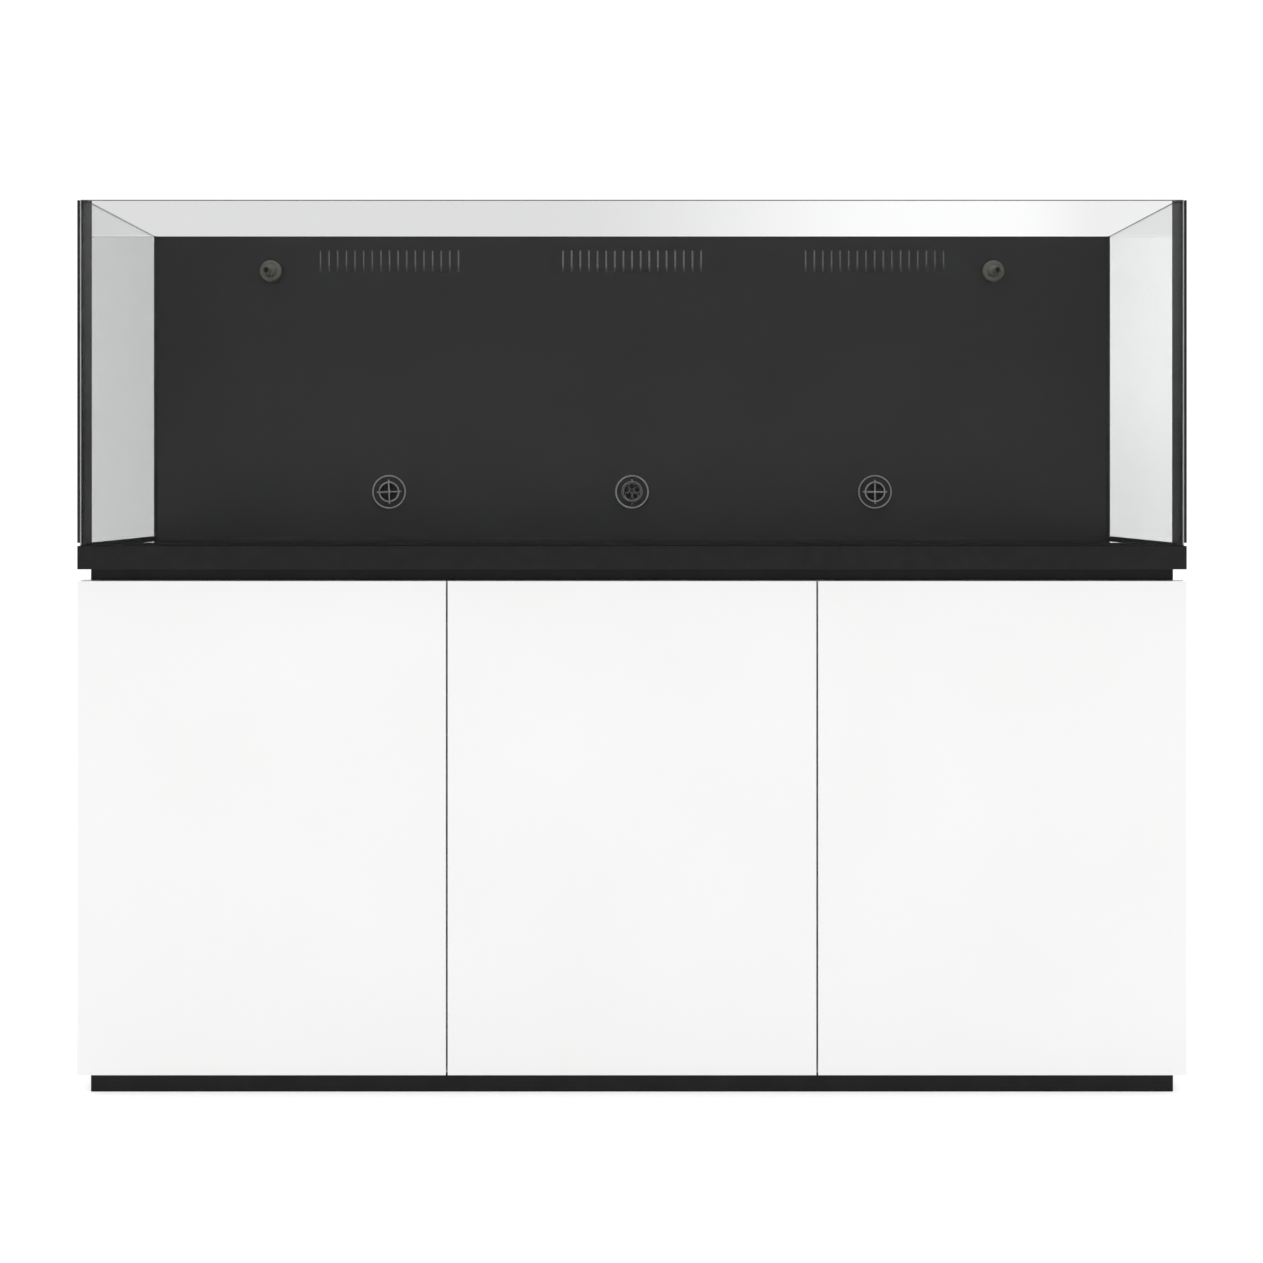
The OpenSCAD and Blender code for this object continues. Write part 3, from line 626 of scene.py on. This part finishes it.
def soften(piece, width, segments, edge_material, angle, flat):
    """Rounds or chamfers a piece's sharp edges, and can give them a material of their own."""
    mesh = piece.data
    if "custom_normal" in mesh.attributes:
        mesh.attributes.remove(mesh.attributes["custom_normal"])
    mesh.polygons.foreach_set("use_smooth", [not flat] * len(mesh.polygons))
    weld = piece.modifiers.new("weld", "WELD")
    weld.merge_threshold = WELD_GAP
    if width:
        bevel = piece.modifiers.new("bevel", "BEVEL")
        bevel.width = width
        bevel.segments = segments
        bevel.limit_method = "ANGLE"
        bevel.angle_limit = math.radians(angle)
        bevel.miter_outer = "MITER_ARC"
        if edge_material:
            bevel.material = add_material(piece, edge_material)
    if not flat:
        split = piece.modifiers.new("split", "EDGE_SPLIT")
        split.split_angle = math.radians(SPLIT_ANGLE)
        piece.modifiers.new("weighted", "WEIGHTED_NORMAL")


def shrink(piece, depth):
    """Draws the faces in by a hair after the weld, so that they don't coincide with the glass they bond."""
    skin = piece.modifiers.new("shrink", "DISPLACE")
    skin.strength = -depth
    skin.mid_level = 0.0
    piece.modifiers.move(len(piece.modifiers) - 1, 1)


def dress():
    """Gives each CAD node its slot's material and its edges."""
    for name, node in NODES.items():
        slot = SLOT_OF[name]
        node.data.materials.clear()
        node.data.materials.append(MATERIALS[slot].material)
        width, segments = EDGE.get(slot, COMMON_EDGE)
        width, edge_material, angle = OWN_EDGE.get(name, (width, None, BEVEL_ANGLE))
        soften(node, width, segments, edge_material, angle, slot in FLAT_SLOTS)
        if slot == "silicone":
            shrink(node, SILICONE_GAP)


def paint_details():
    """Faces that differ from the rest of their node."""
    slots_low, slots_high = (RIM_Z - depth for depth in SLOT_BAND)
    centre = middle(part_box("port_guard_middle"))

    def inside_slot(at, normal):
        return slots_low < at.z < slots_high and abs(normal.y) < LEANING

    def on_guard_rim(at, normal):
        return normal.y < -FACING and at.y < WALL_LOW.y - RIM_STAND

    def round_the_disc(at, normal):
        return on_guard_rim(at, normal) and math.hypot(at.x - centre.x, at.z - centre.z) > DRILLED_DISC_R

    # the slots' cheeks get the lighter grey: frosted cut edge and painted highlight
    paint("weir_wall", "cut_edge_and_highlight", inside_slot)
    # the raised rims get the pale grey: partly wear, partly painted highlight
    paint("port_guard_left", "rim_wear_and_highlight", on_guard_rim)
    paint("port_guard_right", "rim_wear_and_highlight", on_guard_rim)
    paint("port_guard_middle", "rim_wear_and_highlight", round_the_disc)
    paint("front_pane", "ground_glass", lambda at, normal: abs(normal.x * normal.y) > LEANING)
    # painted light on the rear pane's inner face
    paint("rear_pane", "chamber_painted_light", lambda at, normal: normal.y < -FACING)
    for node in ("front_pane", "left_pane", "right_pane"):
        # painted shade: the panes' top faces are near-black
        paint(node, "edge_painted_shade", lambda at, normal: normal.z > FACING)
    # painted shade: the seams behind the weir wall, the corners' outer step and the floor seams take the darker
    # silicone
    paint("corner_seams", "silicone_painted_shade", lambda at, normal: at.y > 0 or abs(at.x) > HIGH.x - OUTER_STEP)
    paint("floor_seams", "silicone_painted_shade", lambda at, normal: True)
    # painted light: the spacer's sides take the lighter copy of the board
    paint("spacer_board", "board_painted_light", lambda at, normal: abs(normal.z) < LEANING)


# ---- hinges and doors ----

# each screw's radius, height and the reach of its cross
PAN_SCREW = (0.0038, 0.0016, 0.0024)
ARM_SCREW = (0.0026, 0.0010, 0.0016)
LEVER_SCREW = (0.0055, 0.0022, 0.0034)
# turns of the screws' crosses
ARM_SCREW_TURN, CUP_SCREW_TURN, LEVER_SCREW_TURN = 0.3, 0.4, 0.2
# hinges left of this carry the left and middle doors and face right, and the others face left
RIGHT_HINGES_X = 0.5
PLATE_T = 0.003
# the lower and the upper screw of a plate: height from its middle, and turn of the cross
PLATE_SCREWS = ((-0.0172, 0.3452), (0.0172, 0.6548))
# distances of an arm's screws from its back end
ARM_SCREW_INSETS = (0.010, 0.026)
# a cup's flange is taller than this, and its screws sit in from its hinged side, above and below its middle
FLANGE_HEIGHT = 0.05
CUP_SCREW_INSET = 0.0165
CUP_SCREW_RISE = 0.024
# a bumper's profile, its distance from the door's free edge, and from the door's foot and top
BUMPER = [(0, 0), (0.0045, 0), (0.0045, 0.0008), (0.0038, 0.0018), (0.0022, 0.0024), (0, 0.0026)]
BUMPER_INSET = 0.007
BUMPER_LOW, BUMPER_HIGH = 0.05, 0.09
BUMPER_STEPS = 24


def plate_and_arm_screws(pan):
    """Screws in the plates on the cabinet's panels and in the arms on top of them."""
    on_panel, on_arms = [], []
    for low, high in islands("hinge_plates"):
        out = 1 if low.x < RIGHT_HINGES_X else -1
        face = low.x + PLATE_T if out > 0 else high.x - PLATE_T
        at = middle((low, high))
        on_panel += [facing((face, at.y, at.z + rise), (out, 0, 0), turn) for rise, turn in PLATE_SCREWS]
    for low, high in islands("hinge_arms"):
        out = 1 if low.x < RIGHT_HINGES_X else -1
        face = high.x if out > 0 else low.x
        height = middle((low, high)).z
        for inset in ARM_SCREW_INSETS:
            on_arms.append(facing((face, high.y - inset, height), (out, 0, 0), ARM_SCREW_TURN))
    scatter("hinge_plate_screws", pan, on_panel, "hinge_steel", "root")
    scatter("hinge_arm_screws", screw_mesh(*ARM_SCREW), on_arms, "hinge_steel", "root")


def hinge_screws():
    """Screws in the hinges' plates, arms and cups."""
    pan = screw_mesh(*PAN_SCREW)
    plate_and_arm_screws(pan)
    for side in ("left", "middle", "right"):
        node = "hinge_cups_" + side
        spots = []
        for low, high in islands(node):
            if high.z - low.z < FLANGE_HEIGHT:
                continue
            x = low.x + CUP_SCREW_INSET if side != "right" else high.x - CUP_SCREW_INSET
            height = middle((low, high)).z
            for rise in (-CUP_SCREW_RISE, CUP_SCREW_RISE):
                spots.append(facing((x, high.y, height + rise), (0, 1, 0), CUP_SCREW_TURN))
        scatter("hinge_cup_screws_" + side, pan, spots, "hinge_steel", BODY_OF[node])


def door_bumpers():
    """Clear bumpers on the back of each door near its free edge."""
    bumper = turned_mesh("bumper", BUMPER, BUMPER_STEPS)
    for side in ("left", "middle", "right"):
        node = "door_" + side
        low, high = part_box(node)
        x = low.x + BUMPER_INSET if side == "right" else high.x - BUMPER_INSET
        spots = [facing((x, high.y, z), (0, 1, 0)) for z in (low.z + BUMPER_LOW, high.z - BUMPER_HIGH)]
        scatter("door_bumpers_" + side, bumper, spots, "bumper_clear", BODY_OF[node])


# ---- beads of silicone ----

SUMP_GLASS_T = 0.010
# sizes of the beads, and how far they end above the tank's floor and below the rims
SUMP_BEAD, TANK_BEAD = 0.006, 0.0066
SUMP_BEAD_DROP, TANK_BEAD_DROP = 0.004, 0.001
TANK_BEAD_RISE = 0.004


def sump_seams():
    """Silicone in the corners of the sump."""
    low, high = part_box("sump_panes")
    left, front, base = low + Vector((SUMP_GLASS_T,) * 3)
    right, back = high.x - SUMP_GLASS_T, high.y - SUMP_GLASS_T
    top = high.z - SUMP_BEAD_DROP
    bm = bmesh.new()
    for x, to_x in ((left, 1), (right, -1)):
        for y, to_y in ((front, 1), (back, -1)):
            bead(bm, (x, y, base), (x, y, top), (to_x, 0, 0), (0, to_y, 0), SUMP_BEAD)
        bead(bm, (x, front, base), (x, back, base), (to_x, 0, 0), (0, 0, 1), SUMP_BEAD)
    for y, to_y in ((front, 1), (back, -1)):
        bead(bm, (left, y, base), (right, y, base), (0, to_y, 0), (0, 0, 1), SUMP_BEAD)
    # the sump's beads take the darker silicone, as painted shade
    new_piece("sump_seams", bm, "silicone_painted_shade", "root")


def tank_beads():
    """Hollow-faced beads of silicone in the upright corners behind the front pane."""
    bm = bmesh.new()
    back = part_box("front_pane")[1].y
    base, top = FLOOR_Z + TANK_BEAD_RISE, RIM_Z - TANK_BEAD_DROP
    for x, to in ((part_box("left_pane")[1].x, 1), (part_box("right_pane")[0].x, -1)):
        bead(bm, (x, back, base), (x, back, top), (to, 0, 0), (0, 1, 0), TANK_BEAD)
    new_piece("tank_beads", bm, "silicone", "root")


# ---- small parts on the plumbing and in the cabinet ----

# height of a lever's hub above the lever's foot
LEVER_HUB_RISE = 0.012
# the pump's ribs: how many, the first from the motor's end, and from one to the next
RIBS = 5
RIB_START = 0.013
RIB_PITCH = 0.0072
RIB_STEPS = 48
# radii of a rib's foot, its shoulder and its crown, and half its width
RIB_FOOT, RIB_SHOULDER, RIB_CROWN = 0.0385, 0.0418, 0.0424
RIB_HALF = 0.0016
CAP = [(0, 0), (0.0065, 0), (0.0065, 0.0004), (0.0058, 0.0011), (0, 0.0012)]
CAP_STEPS = 28
# how far the caps sit from a board's front, back and ends
CAP_FRONT, CAP_BACK, CAP_END = 0.11, 0.09, 0.012


def valve_screws():
    """The screw that holds each lever on its stem."""
    screw = screw_mesh(*LEVER_SCREW)
    for node in ("drain_valve_lever", "return_valve_lever"):
        low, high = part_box(node)
        hub = ((low.x + high.x) / 2, low.y, low.z + LEVER_HUB_RISE)
        place = facing(hub, (0, -1, 0), LEVER_SCREW_TURN)
        scatter(node + "_screw", screw, [place], "hinge_steel", BODY_OF[node])


def pump_ribs():
    """Cooling ribs round the pump's motor."""
    low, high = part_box("return_pump")
    axis_y = (low.y + high.y) / 2
    axis_z = JOINTS["impeller_spin"]["pos_m"][2]
    lower_side = [(RIB_FOOT, -RIB_HALF), (RIB_SHOULDER, -RIB_HALF)]
    rib = lower_side + [(RIB_CROWN, 0), (RIB_SHOULDER, RIB_HALF), (RIB_FOOT, RIB_HALF), lower_side[0]]
    bm = bmesh.new()
    for k in range(RIBS):
        centre = (low.x + RIB_START + RIB_PITCH * k, axis_y, axis_z)
        lathe(bm, rib, RIB_STEPS, facing(centre, (1, 0, 0)))
    bmesh.ops.remove_doubles(bm, verts=bm.verts, dist=1e-6)
    new_piece("pump_ribs", bm, "pump_black", "root")


def joint_caps():
    """Small caps over the screws that hold the cabinet's boards together, on its inner faces."""
    cap = turned_mesh("cap", CAP, CAP_STEPS)
    low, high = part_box("partition")
    faces = (
        (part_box("left_side_panel")[1].x, 1), (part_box("right_side_panel")[0].x, -1), (low.x, -1), (high.x, 1))
    depths = (low.y + CAP_FRONT, high.y - CAP_BACK)
    heights = (low.z + CAP_END, high.z - CAP_END)
    spots = [facing((x, y, z), (out, 0, 0)) for x, out in faces for y in depths for z in heights]
    scatter("joint_caps", cap, spots, "tray_white", "root")


# ---- the scene ----

make_camera()
make_world()
make_floor()
MATERIALS = make_materials()
dress()
paint_details()
hinge_screws()
door_bumpers()
sump_seams()
tank_beads()
valve_screws()
pump_ribs()
joint_caps()
bpy.context.scene.view_settings.view_transform = "Standard"
